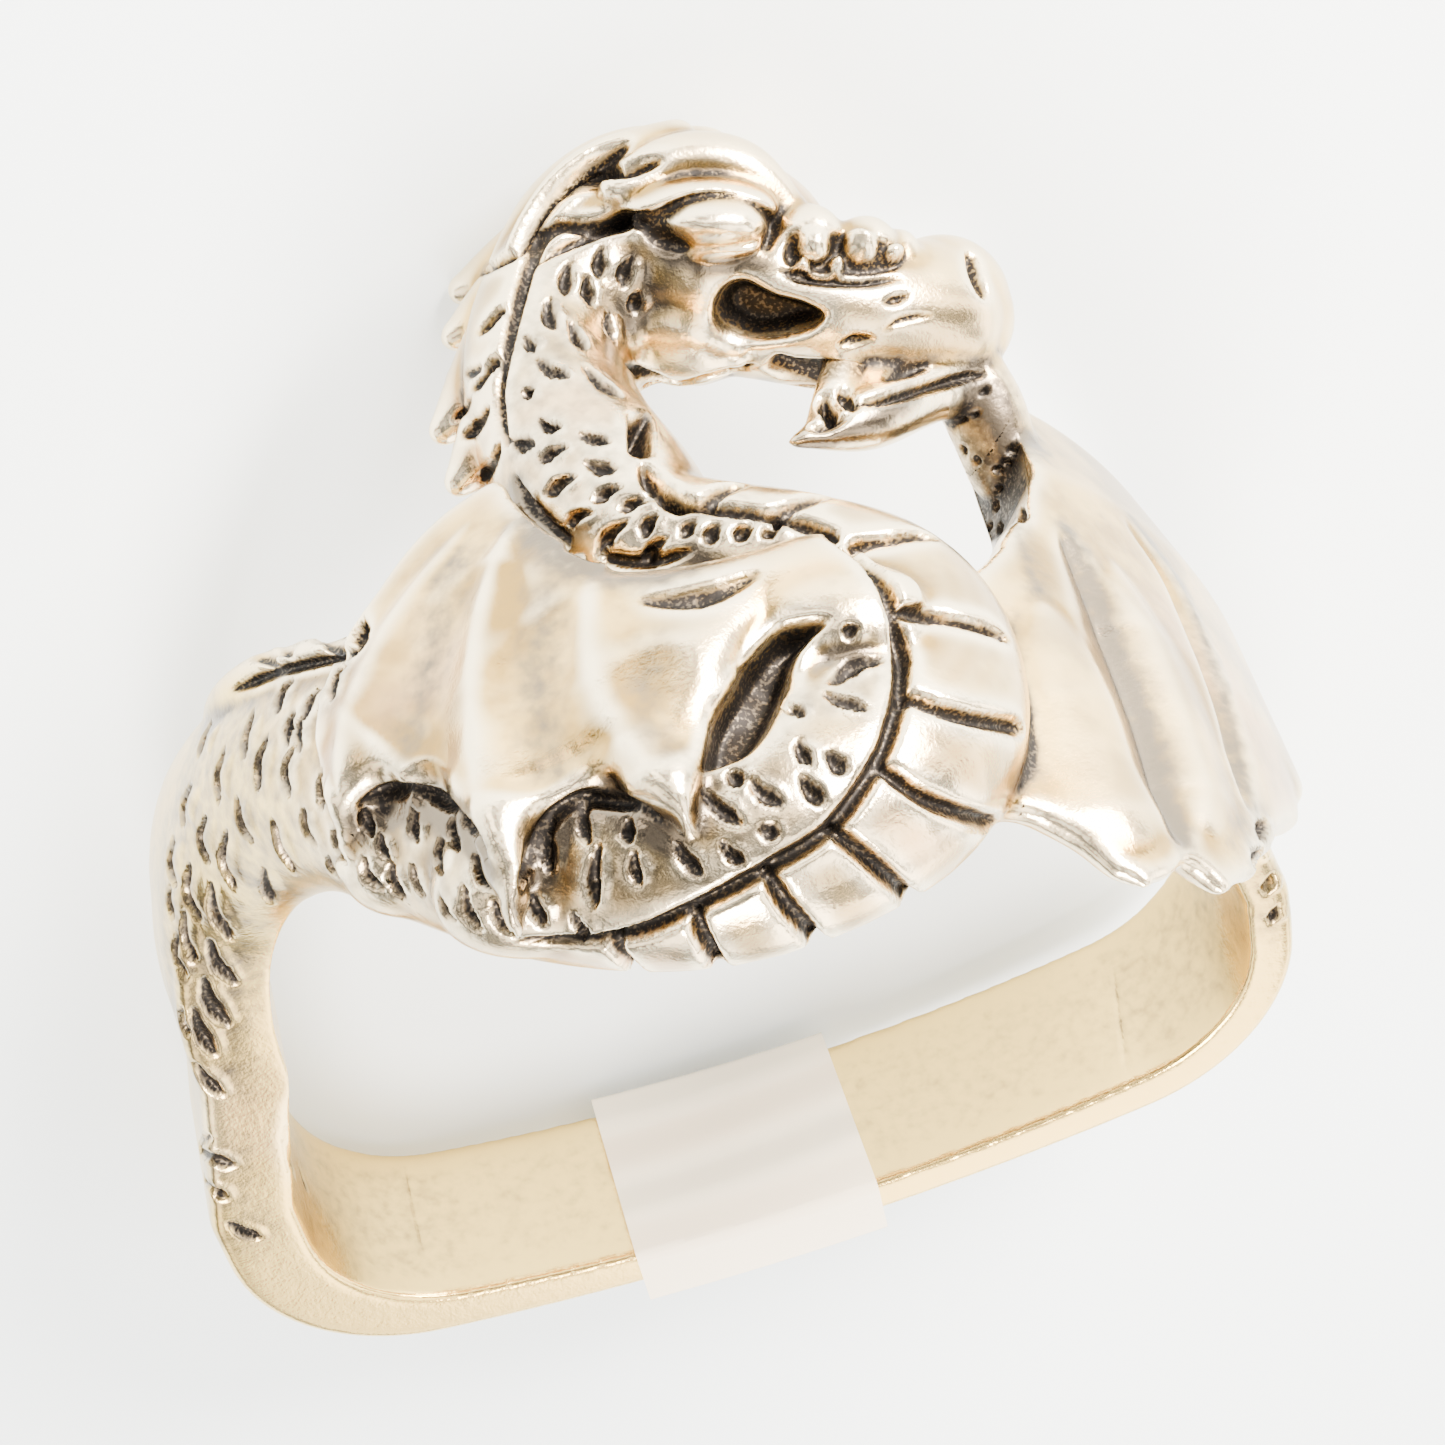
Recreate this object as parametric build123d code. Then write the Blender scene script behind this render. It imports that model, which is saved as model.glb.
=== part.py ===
"""A cast silver dragon ring lying on its side, with a clear size sleeve on the bottom of its band.

The ring is worked out round its finger axis, which is Z here. A place on it has an angle round the
finger (0 at the middle of the bezel, negative towards the tail), a distance along the finger (the
belly side is positive, the head side negative) and a height over the finger hole. The finished ring
is then leaned over until it rests on its low edges, and set down on Z = 0."""
import os
from math import cos, radians, sin

from build123d import *

# Finger hole and band
hole_radius = 9.4          # the hole's upper half is a plain half circle
hole_bottom = 0.979 * hole_radius    # from the hole's centre down to the band's nearly flat bottom
hole_spread = 1.106 * hole_radius    # half of the hole's width between its lower corners
corner_radius = 0.34 * hole_radius   # inner radius of the lower corners
band_width = 4.2
floor_rise = 0.138 * hole_radius     # how much higher the bottom is at the lower corners
band_wall = 1.05           # the plain side and the bottom
shank_wall = 1.8           # the thicker, scaled side
band_edge = 0.25           # rounding of the band's long edges
tail_start = -62.0         # where the scaled shank meets the dragon's body, degrees round the finger
wing_start = 60.0          # where the plain shank meets the right wing

# Dragon
reach = 1.064 * hole_radius          # unit of the distances along and across the finger
rise = 0.45 * reach        # unit of the heights over the finger hole
girth = 0.25 * reach       # half thickness of the skull and of the thickest part of the body
wing_wall = 0.11 * reach   # membrane of the left wing
groove_width = 0.3         # between the belly plates
groove_depth = 0.3

# Size sleeve
sleeve_length = 5.5
sleeve_wall = 0.25
sleeve_gap = 0.05          # all round between the sleeve and the band
sleeve_shift = -1.3        # its middle, across the ring from the hole's centre
sleeve_slit = 0.4          # the slit that lets it over the band

# How the ring lies
lean = 9.2                 # degrees, head end down
roll = -2.3                # degrees, then sideways

silver = Color(0.80, 0.76, 0.68)
vinyl = Color(0.93, 0.90, 0.88)
far = 5 * reach            # longer than anything that it cuts


def outward(angle):
    return Vector(sin(radians(angle)), cos(radians(angle)), 0)


def spot(angle, along, lift):
    """The point at an angle round the finger, with shares of the reach along it and of the rise."""
    return outward(angle) * (hole_radius + lift * rise) + Vector(0, 0, along * reach)


def limb(rows):
    """A smooth tapered form through oval sections square to its path.

    A row has the angle, the share of the reach along, the share of the rise, and the half width and
    half height as shares of the girth."""
    places = [spot(angle, along, lift) for angle, along, lift, wide, tall in rows]
    sections = []
    for index, (angle, along, lift, wide, tall) in enumerate(rows):
        before = places[max(index - 1, 0)]
        after = places[min(index + 1, len(rows) - 1)]
        way = (after - before).normalized()
        across = way.cross(outward(angle)).normalized()
        section = Plane(origin=places[index], x_dir=across, z_dir=way)
        sections.append(section * Ellipse(wide * girth, tall * girth))
    return loft(sections)


def knob(angle, along, lift, wide, long, tall, turn=0.0):
    """A rounded lump, with half sizes round the finger, along it and outwards as shares of the girth."""
    place = Plane(origin=spot(angle, along, lift), x_dir=Vector(0, 0, 1), z_dir=outward(angle))
    lump = scale(Sphere(girth), by=(long, wide, tall))
    return place * Rot(0, 0, turn) * lump


def ring_face(tail_wall, plain_wall):
    """The finger hole's outline, grown by one wall on the tail's side and another elsewhere."""
    left = hole_radius + tail_wall
    right = hole_radius + plain_wall
    low = hole_bottom + plain_wall
    low_left = (-hole_spread - tail_wall, floor_rise - low)
    low_right = (hole_spread + plain_wall, floor_rise - low)
    waist = floor_rise + 1.2 * corner_radius - hole_bottom
    upper = ThreePointArc((right, 0), ((right - left) / 2, (left + right) / 2), (-left, 0))
    down = Polyline((-left, 0), (low_left[0], waist), low_left)
    floor = ThreePointArc(low_left, (0, -low), low_right)
    back_up = Polyline(low_right, (low_right[0], waist), (right, 0))
    face = make_face([upper, down, floor, back_up])
    corners = face.vertices().group_by(Axis.Y)[0]
    return fillet(corners, corner_radius + plain_wall)


def outline(rows, middle):
    """A flat face from rows of angle, along, lift and the bulge of the edge that follows.

    It is laid out square to the surface at the middle angle, and a bulge is a share of the reach."""
    corners = []
    for angle, along, lift, bulge in rows:
        across = (hole_radius + lift * rise) * sin(radians(angle - middle))
        corners.append((across, along * reach, bulge * reach))
    edges = []
    for (x0, y0, bulge), (x1, y1, _) in zip(corners, corners[1:] + corners[:1]):
        if bulge:
            edges.append(SagittaArc((x0, y0), (x1, y1), bulge))
        else:
            edges.append(Line((x0, y0), (x1, y1)))
    return make_face(edges)


def drape(rows, centre_share, span, wall):
    """A shell round the finger that falls away to both sides of the bezel's middle.

    A row has the share of the reach along and the share of the rise; the shell's own centre lies
    that share of the hole's radius above the finger's axis."""
    start, end = span
    centre = hole_radius * centre_share
    outer = [(hole_radius + lift * rise - centre, along * reach) for along, lift in rows]
    inner = [(radius - wall, height) for radius, height in reversed(outer)]
    profile = make_face(Polyline(*outer, *inner, close=True))
    shell = revolve(Plane.XZ * profile, Axis.Z, end - start)
    return Pos(0, centre, 0) * Rot(0, 0, 90 - end) * shell


def wing(rows, middle, shell):
    """The part of a shell under an outline, cut square to the surface at the middle angle."""
    inward = outward(middle) * -1
    place = Plane(origin=outward(middle) * far / 2, x_dir=outward(middle + 90), z_dir=inward)
    return extrude(place * outline(rows, middle), far / 2) & shell


# Columns: angle, along, lift, wide, tall
tail_rows = [
    (-90, 0.00, 0.13, 0.84, 0.54),
    (-72, 0.00, 0.12, 0.88, 0.58),
    (-57, 0.06, 0.12, 0.90, 0.62),
    (-44, 0.21, 0.13, 0.94, 0.70),
]
trunk_rows = [
    (-44, 0.21, 0.13, 0.94, 0.70),
    (-34, 0.39, 0.15, 0.98, 0.76),
    (-25, 0.59, 0.17, 1.04, 0.78),
    (-14, 0.80, 0.18, 1.02, 0.82),
    (-2, 0.92, 0.20, 1.00, 0.86),
    (6, 0.93, 0.20, 0.96, 0.84),
]
coil_rows = [
    (0, 0.93, 0.20, 0.96, 0.84),
    (9, 0.90, 0.21, 0.94, 0.84),
    (15.5, 0.79, 0.21, 0.92, 0.84),
    (18.5, 0.66, 0.22, 0.82, 0.82),
    (17.5, 0.55, 0.23, 0.74, 0.80),
    (12, 0.47, 0.25, 0.66, 0.78),
    (5, 0.41, 0.28, 0.64, 0.78),
    (0, 0.34, 0.32, 0.64, 0.78),
]
neck_rows = [
    (6, 0.42, 0.28, 0.60, 0.76),
    (1, 0.34, 0.33, 0.66, 0.78),
    (-2, 0.20, 0.38, 0.68, 0.76),
    (-3.5, 0.02, 0.42, 0.64, 0.74),
    (-3.5, -0.14, 0.46, 0.62, 0.74),
    (-1, -0.27, 0.49, 0.66, 0.78),
    (4, -0.36, 0.52, 0.78, 0.84),
    (9, -0.39, 0.54, 0.86, 0.88),
]
head_rows = [
    (3, -0.35, 0.52, 0.70, 0.72),
    (8, -0.38, 0.54, 0.90, 0.90),
    (13, -0.38, 0.55, 0.95, 0.93),
    (17, -0.34, 0.55, 0.84, 0.82),
    (20, -0.27, 0.54, 0.70, 0.68),
    (24, -0.22, 0.54, 0.62, 0.60),
    (30, -0.22, 0.55, 0.60, 0.58),
    (35, -0.26, 0.55, 0.62, 0.58),
    (39, -0.28, 0.54, 0.46, 0.42),
]
jaw_rows = [
    (38, -0.17, 0.42, 0.28, 0.28),
    (31, -0.07, 0.38, 0.27, 0.26),
    (24, 0.04, 0.38, 0.22, 0.22),
    (16.5, 0.10, 0.38, 0.08, 0.08),
]
horn_rows = [
    (15, -0.50, 0.92, 0.18, 0.16),
    (8, -0.52, 0.91, 0.20, 0.18),
    (2, -0.47, 0.84, 0.20, 0.18),
    (-3, -0.37, 0.76, 0.16, 0.14),
    (-6.5, -0.30, 0.70, 0.07, 0.07),
]
ear_rows = [
    (12, -0.44, 1.07, 0.18, 0.14),
    (5, -0.42, 1.02, 0.20, 0.16),
    (-0.5, -0.34, 0.92, 0.16, 0.14),
    (-4.5, -0.24, 0.82, 0.07, 0.07),
]
brow_rows = [
    (6, -0.33, 1.03, 0.14, 0.12),
    (11, -0.37, 1.08, 0.20, 0.16),
    (16, -0.35, 1.04, 0.22, 0.18),
    (20, -0.28, 0.90, 0.12, 0.10),
]
rib_rows = [
    [(-9, 0.24, 0.80, 0.10, 0.08), (-17, 0.48, 0.80, 0.16, 0.12), (-20, 0.74, 0.78, 0.16, 0.12),
     (-18.5, 1.00, 0.68, 0.08, 0.06)],
    [(-4, 0.56, 0.86, 0.10, 0.08), (-6, 0.74, 0.88, 0.16, 0.12), (-4, 0.94, 0.84, 0.14, 0.10),
     (-2.5, 1.04, 0.78, 0.06, 0.06)],
]
crest_rows = [
    (-53, -0.09, 0.26, 0.14, 0.12),
    (-46, 0.00, 0.34, 0.24, 0.26),
    (-36, 0.14, 0.42, 0.24, 0.28),
    (-26, 0.30, 0.46, 0.18, 0.20),
    (-18, 0.42, 0.48, 0.10, 0.10),
]

# The coil's middle and the inner ends of its grooves, as shares of the reach
coil_across = 0.06
coil_along = 0.68
coil_inside = 0.30

# Spines down the back of the neck. Columns: angle and along of the root, angle and along of the tip
spine_rows = [
    (0, -0.46, -6.5, -0.52),
    (-3, -0.30, -9.5, -0.36),
    (-5, -0.10, -13.5, -0.14),
]
spine_lift = 0.42
spine_size = 0.42

# Lumps and hollows of the head. Columns: angle, along, lift, half sizes round, along and out, turn
lump_rows = [
    (12, -0.27, 0.97, 0.44, 0.22, 0.18, 8),
    (21.5, -0.24, 0.80, 0.22, 0.22, 0.22, 0),
    (26.5, -0.22, 0.78, 0.22, 0.22, 0.22, 0),
]
hollow_rows = [
    (15.5, -0.12, 0.74, 0.48, 0.24, 0.26, -8),
    (38, -0.30, 0.80, 0.12, 0.24, 0.16, 10),
]

# Columns: angle, along, lift, bulge of the edge that follows
left_wing_rows = [
    (-9.2, 0.20, 0.74, 0.03),
    (-21.5, 0.30, 0.70, 0.02),
    (-30.2, 0.46, 0.62, 0.01),
    (-32.0, 0.66, 0.60, -0.10),
    (-20.5, 0.90, 0.66, 0.00),
    (-18.5, 1.05, 0.60, -0.16),
    (-4.8, 1.12, 0.70, 0.00),
    (-2.4, 1.04, 0.72, -0.06),
    (6.2, 0.76, 0.76, 0.00),
    (10.3, 0.77, 0.76, 0.00),
    (15.5, 0.80, 0.76, 0.05),
    (14.6, 0.68, 0.76, 0.04),
    (9.5, 0.59, 0.76, -0.03),
    (-3.1, 0.57, 0.76, -0.03),
]
right_wing_rows = [
    (43, -0.21, 0.36, 0.00),
    (92, -0.21, 0.34, 0.00),
    (94, 0.21, 0.32, 0.00),
    (88, 0.38, 0.28, 0.02),
    (73, 0.66, 0.20, 0.02),
    (57, 0.93, 0.10, -0.02),
    (46, 0.96, 0.12, 0.00),
    (38, 1.08, 0.14, 0.02),
    (30, 1.05, 0.20, -0.03),
    (22, 0.98, 0.20, 0.00),
    (27, 0.70, 0.40, 0.00),
    (31.5, 0.45, 0.42, 0.00),
    (37, 0.32, 0.44, -0.04),
    (41.5, 0.04, 0.44, 0.00),
]

# Sections of the two shells along the finger. Columns: along, lift
left_wing_shell = [(0.16, 0.76), (0.52, 0.86), (0.80, 0.86), (1.00, 0.78), (1.20, 0.68)]
right_wing_shell = [(-0.30, 0.32), (0.10, 0.42), (0.50, 0.36), (0.85, 0.22), (1.20, 0.08)]
left_shell_centre = 0.32
right_shell_centre = 0.0
left_shell_span = (-45, 25)
right_shell_span = (10, 100)
left_wing_middle = 0
right_wing_middle = 60


def shanks():
    """The band without its upper arc: the scaled side is the thicker one."""
    hole = ring_face(0, 0)
    band = extrude(ring_face(shank_wall, band_wall), band_width / 2, both=True)
    rims = band.edges().filter_by(lambda edge: abs(abs(edge.center().Z) - band_width / 2) < 0.01)
    band = fillet(rims, band_edge)
    gap = [outward(angle) * far for angle in (tail_start, 0, wing_start)]
    gap = make_face(Polyline((0, 0, 0), *gap, close=True))
    return band - extrude(gap, far, both=True), hole


def spines():
    tips = []
    for angle, along, tip_angle, tip_along in spine_rows:
        root = spot(angle, along, spine_lift)
        tip = spot(tip_angle, tip_along, spine_lift)
        way = (tip - root).normalized()
        place = Plane(origin=(root + tip) * 0.5, x_dir=Vector(0, 0, 1).cross(way), z_dir=way)
        length = (tip - root).length
        tips.append(place * Cone(spine_size * girth, 0.05 * girth, length))
    return tips


def belly_grooves(rows):
    """Grooves across the outer side of a limb, one at each section but the first and the last."""
    core = Pos(coil_across * reach, 0, coil_along * reach) * Rot(-90, 0, 0)
    core *= Cylinder(coil_inside * reach, far)
    cuts = []
    for before, row, after in zip(rows, rows[1:], rows[2:]):
        angle, along, lift, wide, tall = row
        way = (spot(*after[:3]) - spot(*before[:3])).normalized()
        across = way.cross(outward(angle)).normalized()
        section = Plane(origin=spot(angle, along, lift), x_dir=across, z_dir=way)
        outside = Ellipse(wide * girth + groove_depth, tall * girth + groove_depth)
        inside = Ellipse(wide * girth - groove_depth, tall * girth - groove_depth)
        cuts.append(extrude(section * (outside - inside), groove_width / 2, both=True) - core)
    return cuts


def ring():
    band, hole = shanks()
    left_shell = drape(left_wing_shell, left_shell_centre, left_shell_span, wing_wall)
    right_shell = drape(right_wing_shell, right_shell_centre, right_shell_span, rise)
    solid = band
    for rows in (tail_rows, trunk_rows, coil_rows):
        solid += limb(rows)
    for cut in belly_grooves(coil_rows[:-1]) + belly_grooves(trunk_rows[2:]):
        solid -= cut
    for rows in (neck_rows, head_rows, jaw_rows, horn_rows, ear_rows, brow_rows, crest_rows):
        solid += limb(rows)
    solid += wing(left_wing_rows, left_wing_middle, left_shell)
    for rows in rib_rows:
        solid += limb(rows)
    solid += wing(right_wing_rows, right_wing_middle, right_shell)
    for tip in spines():
        solid += tip
    for row in lump_rows:
        solid += knob(*row)
    for row in hollow_rows:
        solid -= knob(*row)
    return solid - extrude(hole, far, both=True)


def sleeve():
    """A clear tube of rectangular section, slit underneath, that follows the bottom of the band."""
    stretch = Pos(sleeve_shift, -hole_bottom) * Rectangle(sleeve_length, hole_bottom)
    layers = []
    for grown in (sleeve_gap + sleeve_wall, sleeve_gap):
        face = offset(ring_face(shank_wall, band_wall), grown) - offset(ring_face(0, 0), -grown)
        layers.append(extrude(face & stretch, band_width / 2 + grown, both=True))
    outside, room = layers
    height = outside.bounding_box().max.Z
    rims = outside.edges().filter_by(lambda edge: abs(edge.center().Z) > height - 0.01)
    rims = rims.filter_by(lambda edge: edge.length > sleeve_length / 2)
    slit = Pos(sleeve_shift, -hole_bottom - band_wall / 2 - reach) * Box(reach, 2 * reach, sleeve_slit)
    return fillet(rims, 0.9 * sleeve_wall) - room - slit


def lay_down(pieces):
    """The pieces leaned over as the ring lies, over the origin and on Z = 0."""
    turned = {name: Rot(0, roll, 0) * Rot(lean, 0, 0) * piece for name, piece in pieces.items()}
    boxes = [piece.bounding_box() for piece in turned.values()]
    box = boxes[0].add(boxes[1])
    shift = Pos(-box.center().X, -box.center().Y, -box.min.Z)
    print("shift", *shift.position)
    return {name: shift * piece for name, piece in turned.items()}


pieces = {"dragon_ring": ring(), "size_sleeve": sleeve()}
colours = {"dragon_ring": silver, "size_sleeve": vinyl}
os.makedirs("parts", exist_ok=True)
for name, piece in lay_down(pieces).items():
    solid = piece.solid()
    solid.label = name
    solid.color = colours[name]
    export_step(solid, f"parts/{name}.step")
    print(name, round(solid.volume, 1), "mm3, valid:", solid.is_valid, solid.bounding_box())
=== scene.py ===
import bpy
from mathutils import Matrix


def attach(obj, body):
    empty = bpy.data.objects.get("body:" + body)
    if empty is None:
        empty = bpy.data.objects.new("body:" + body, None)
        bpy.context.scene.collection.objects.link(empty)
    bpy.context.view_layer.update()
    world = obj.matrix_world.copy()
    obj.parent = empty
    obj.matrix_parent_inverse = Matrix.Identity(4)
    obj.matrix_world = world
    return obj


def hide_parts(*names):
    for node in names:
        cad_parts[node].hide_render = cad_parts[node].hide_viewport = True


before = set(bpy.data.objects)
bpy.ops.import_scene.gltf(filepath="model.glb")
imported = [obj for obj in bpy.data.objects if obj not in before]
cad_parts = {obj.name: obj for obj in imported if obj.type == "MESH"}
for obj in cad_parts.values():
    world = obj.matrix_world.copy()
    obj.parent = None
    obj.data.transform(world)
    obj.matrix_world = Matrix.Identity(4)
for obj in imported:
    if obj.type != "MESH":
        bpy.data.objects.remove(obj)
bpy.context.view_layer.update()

import math

import bmesh
import bpy
import numpy as np
from mathutils import Matrix, Vector

# The ring is sculpted in millimetres round its finger axis and laid down at the end. A place has an
# angle round the finger, a share of the reach along it and a share of the rise over the finger hole.
hole_radius = 9.4
reach = 10.0
rise = 4.5
girth = 2.5  # the half widths of limbs and lumps are given in this
lean, roll = math.radians(9.2), math.radians(-2.3)
shift = Vector((0.344166, -2.074749, 4.216134))
laid = Matrix.Translation(shift) @ Matrix.Rotation(roll, 4, "Y") @ Matrix.Rotation(lean, 4, "X")
to_metres = Matrix.Scale(0.001, 4)

# How the photograph was taken: the eye's place and the picture's middle, in a frame of 1445 x 1445
eye_distance = 62.0
eye_height, eye_side, eye_roll = (math.radians(a) for a in (45.99, 3.566, 14.685))
focus = 3035.5
middle_u, middle_v = 717.1, 858.5
picture = 1445

fine = 0.072  # spacing of the sculpted surface, in millimetres
slab_fine = 0.12  # the same for a wing before it is bent
cap_turns = (30, 55, 75, 86)  # where the round end of a limb has its rings, in degrees
arc_steps = 12  # points on each side of a wing's outline
curve_steps, straight_steps = 6, 5  # points on each stretch of a drawn line

# The wings' free edges, in millimetres and in shares of the slab's thickness
hole_overlap = 0.4  # how far a full slab goes past the hole's wall
free_from = 5.5  # where along the finger the edges come free
lip_width, lip_drop = 0.8, 0.25  # the left wing's rounded edge
thin_width, thin_outside, thin_inside = 1.6, 0.08, 0.66  # the right wing's thin edge
foot_start, foot_length, foot_thinning = 3.2, 2.8, 0.30  # its slope down to the band
undercut_width, undercut_end, undercut_fade = 1.8, 6.0, 1.5  # its inner edge, which gives way below

# Where the frame's own mesh is used: the band up to one height, and the shank between another height
# and an angle
band_top, shank_bottom, shank_end = 0.4, -1, -70
# The hole widens by 1 mm below its middle, to the squared corners. Only places this far aside are wall.
flare_depth, wall_depth, wall_from = 4.06, 4, 6
floor_gap = 0.01


def outward(angle):
    """The way from the finger's axis at an angle round it."""
    return Vector((math.sin(math.radians(angle)), math.cos(math.radians(angle)), 0))


def spot(angle, along, lift):
    """The place at an angle round the finger, a share of the reach and a share of the rise."""
    return outward(angle) * (hole_radius + lift * rise) + Vector((0, 0, along * reach))


def turned(vector):
    """From the upright frame that the camera was fitted in to the ring's own."""
    x, y, z = vector
    return Vector((x, z, -y))


back = Vector((-math.sin(eye_side) * math.cos(eye_height), -math.cos(eye_side) * math.cos(eye_height),
               math.sin(eye_height)))
level = Vector((math.cos(eye_side), -math.sin(eye_side), 0))
upright = level.cross(-back)
eye = turned(back * eye_distance)
look = turned(-back)
side = turned(level * math.cos(eye_roll) - upright * math.sin(eye_roll))
top = turned(level * math.sin(eye_roll) + upright * math.cos(eye_roll))


def sight(u, v):
    """The way that the camera looks through a picture point."""
    return (look + side * ((u - middle_u) / focus) - top * ((v - middle_v) / focus)).normalized()


def unit(values):
    """The values held between 0 and 1."""
    return np.clip(values, 0, 1)


def placed(name, data):
    """A new object in the scene."""
    made = bpy.data.objects.new(name, data)
    bpy.context.scene.collection.objects.link(made)
    return made


def new_object(name, bm):
    """An object in the scene with the bmesh's form. The bmesh is used up."""
    mesh = bpy.data.meshes.new(name)
    bmesh.ops.recalc_face_normals(bm, faces=bm.faces)
    bm.to_mesh(mesh)
    bm.free()
    return placed(name, mesh)


def blend_rows(rows, steps):
    """Rows put in between by a smooth curve through all of them."""
    rows = np.array(rows, float)
    ends = np.vstack([2 * rows[0] - rows[1], rows, 2 * rows[-1] - rows[-2]])
    out = []
    for i in range(1, len(ends) - 2):
        a, b, c, d = ends[i - 1:i + 3]
        for t in np.linspace(0, 1, steps, endpoint=False):
            out.append(0.5 * (2 * b + (c - a) * t + (2 * a - 5 * b + 4 * c - d) * t * t
                              + (3 * b - a - 3 * c + d) * t ** 3))
    out.append(rows[-1])
    return out


def limb(bm, rows, steps=5, sides=32, square=None):
    """A closed tapered tube: rows of angle, along, lift, half width and half height in girths."""
    path = []
    for angle, along, lift, wide, tall in blend_rows(rows, steps):
        corner = 1 if square is None else np.interp(angle, *square)
        path.append([spot(angle, along, lift), outward(angle), wide * girth, tall * girth, corner])
    for end, step in ((0, 1), (-1, -2)):
        place, out, wide, tall, corner = path[end]
        way = (place - path[step][0]).normalized()
        caps = []
        for turn in cap_turns:
            size = math.cos(math.radians(turn))
            on = math.sin(math.radians(turn)) * min(wide, tall)
            caps.append([place + way * on, out, wide * size, tall * size, corner])
        path = path + caps if end else caps[::-1] + path
    loop = bmesh.ops.create_circle(bm, cap_ends=True, segments=sides, radius=1)["verts"]
    ring = [(v.co.x, v.co.y) for v in loop]
    edges = [e for e in bm.edges if e.verts[0] in set(loop) and e.verts[1] in set(loop)]
    for index, (place, out, wide, tall, corner) in enumerate(path):
        before = path[max(index - 1, 0)][0]
        after = path[min(index + 1, len(path) - 1)][0]
        way = (after - before).normalized()
        across = way.cross(out).normalized()
        over = across.cross(way)
        if index:
            made = bmesh.ops.extrude_edge_only(bm, edges=edges)["geom"]
            edges = [g for g in made if isinstance(g, bmesh.types.BMEdge)]
            fresh = [(vert, edge.other_vert(vert)) for vert in made
                     if isinstance(vert, bmesh.types.BMVert) for edge in vert.link_edges]
            places = {vert: places[other] for vert, other in fresh if other in places}
        else:
            places = {vert: index for index, vert in enumerate(loop)}
        for vert, number in places.items():
            x, y = (math.copysign(abs(c) ** corner, c) for c in ring[number])
            vert.co = place + across * x * wide + over * y * tall
    bmesh.ops.edgeloop_fill(bm, edges=edges)


def lump(bm, angle, along, lift, wide, long, tall, turn=0.0):
    """An egg shape: half its width round the finger, its length along it and its height, in girths."""
    out = outward(angle)
    across = Vector((0, 0, 1)).cross(out)
    axes = Matrix((Vector((0, 0, 1)), across, out)).transposed().to_4x4()
    size = Matrix.Diagonal((long * girth, wide * girth, tall * girth, 1))
    turned_by = Matrix.Rotation(math.radians(turn), 4, "Z")
    place = Matrix.Translation(spot(angle, along, lift)) @ axes @ turned_by
    bmesh.ops.create_icosphere(bm, subdivisions=4, radius=1, matrix=place @ size)


def outline(rows, middle):
    """The corners of an edge of lines and bulged arcs, laid out flat at the middle angle."""
    flat = []
    for angle, along, lift, bulge in rows:
        flat.append(((hole_radius + lift * rise) * math.sin(math.radians(angle - middle)), along * reach,
                     bulge * reach))
    out = []
    for (x0, y0, bulge), (x1, y1, _) in zip(flat, flat[1:] + flat[:1]):
        a, b = Vector((x0, y0)), Vector((x1, y1))
        normal = Vector((a.y - b.y, b.x - a.x)).normalized()
        for t in np.linspace(0, 1, arc_steps, endpoint=False):
            out.append(a.lerp(b, t) + normal * bulge * 4 * t * (1 - t))
    return out


def remeshed(made, size):
    """The object's closed skin as one even mesh."""
    change = made.modifiers.new("skin", "REMESH")
    change.mode = "VOXEL"
    change.voxel_size = size
    change.use_smooth_shade = True
    bpy.context.view_layer.update()
    skin = bpy.data.meshes.new_from_object(made.evaluated_get(bpy.context.evaluated_depsgraph_get()))
    made.modifiers.clear()
    made.data = skin
    return made


def shell_height(rows, centre):
    """The height of a wing's shell, round about a centre, over flat places. Rows: along and lift."""
    alongs = [along * reach for along, lift in rows]
    radii = [hole_radius + lift * rise - centre for along, lift in rows]
    return lambda x, s: centre + np.sqrt(np.maximum(np.interp(s, alongs, radii) ** 2 - x ** 2, 1))


def from_edge(points, loop):
    """How far flat points lie from a closed line."""
    nearest = np.full(len(points), 1e9)
    for a, b in zip(loop, np.roll(loop, -1, 0)):
        way = b - a
        t = unit(((points - a) @ way) / max(way @ way, 1e-12))
        nearest = np.minimum(nearest, np.hypot(*(points - a - t[:, None] * way).T))
    return nearest


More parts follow.
